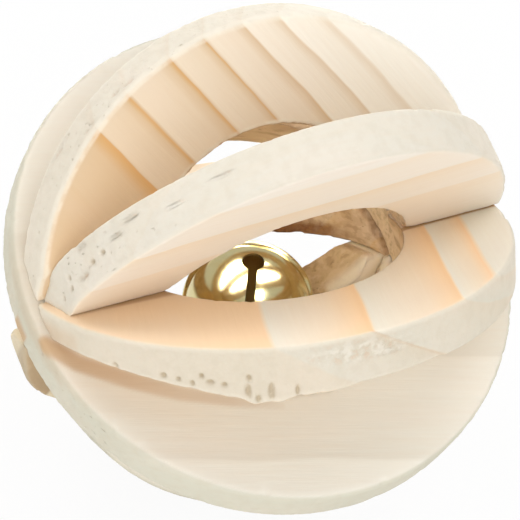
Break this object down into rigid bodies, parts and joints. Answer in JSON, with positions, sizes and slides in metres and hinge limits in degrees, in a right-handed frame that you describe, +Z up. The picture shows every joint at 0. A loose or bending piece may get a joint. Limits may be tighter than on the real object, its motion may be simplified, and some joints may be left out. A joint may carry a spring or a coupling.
{
  "type": "wooden rattle ball",
  "caption": "Open ball of flat sawn pine rings, glued about one pole axis, with a loose brass jingle bell caged inside.",
  "frame": {"origin": "middle of the pole axis, on which every ring's plane lies; the centre of the ball", "axes": "+X along the pole axis, +Z up as the ball rests on the rims of its two lowest half rings, -Y towards the front half ring"},
  "size_m": [0.06, 0.0574, 0.0575],
  "materials": {
    "pine_board": "sawn and lightly sanded pine, unfinished",
    "bell_brass": "polished",
    "pellet_steel": "plain"
  },
  "bodies": {
    "root": {"full_ring": "pine_board", "upper_back_half_ring": "pine_board", "upper_front_half_ring": "pine_board", "front_half_ring": "pine_board", "lower_front_half_ring": "pine_board", "lower_back_half_ring": "pine_board", "back_half_ring": "pine_board", "bell_mouth_shell": "bell_brass", "bell_crown_shell": "bell_brass", "bell_loop": "bell_brass", "bell_pellet": "pellet_steel"}
  },
  "joints": []
}
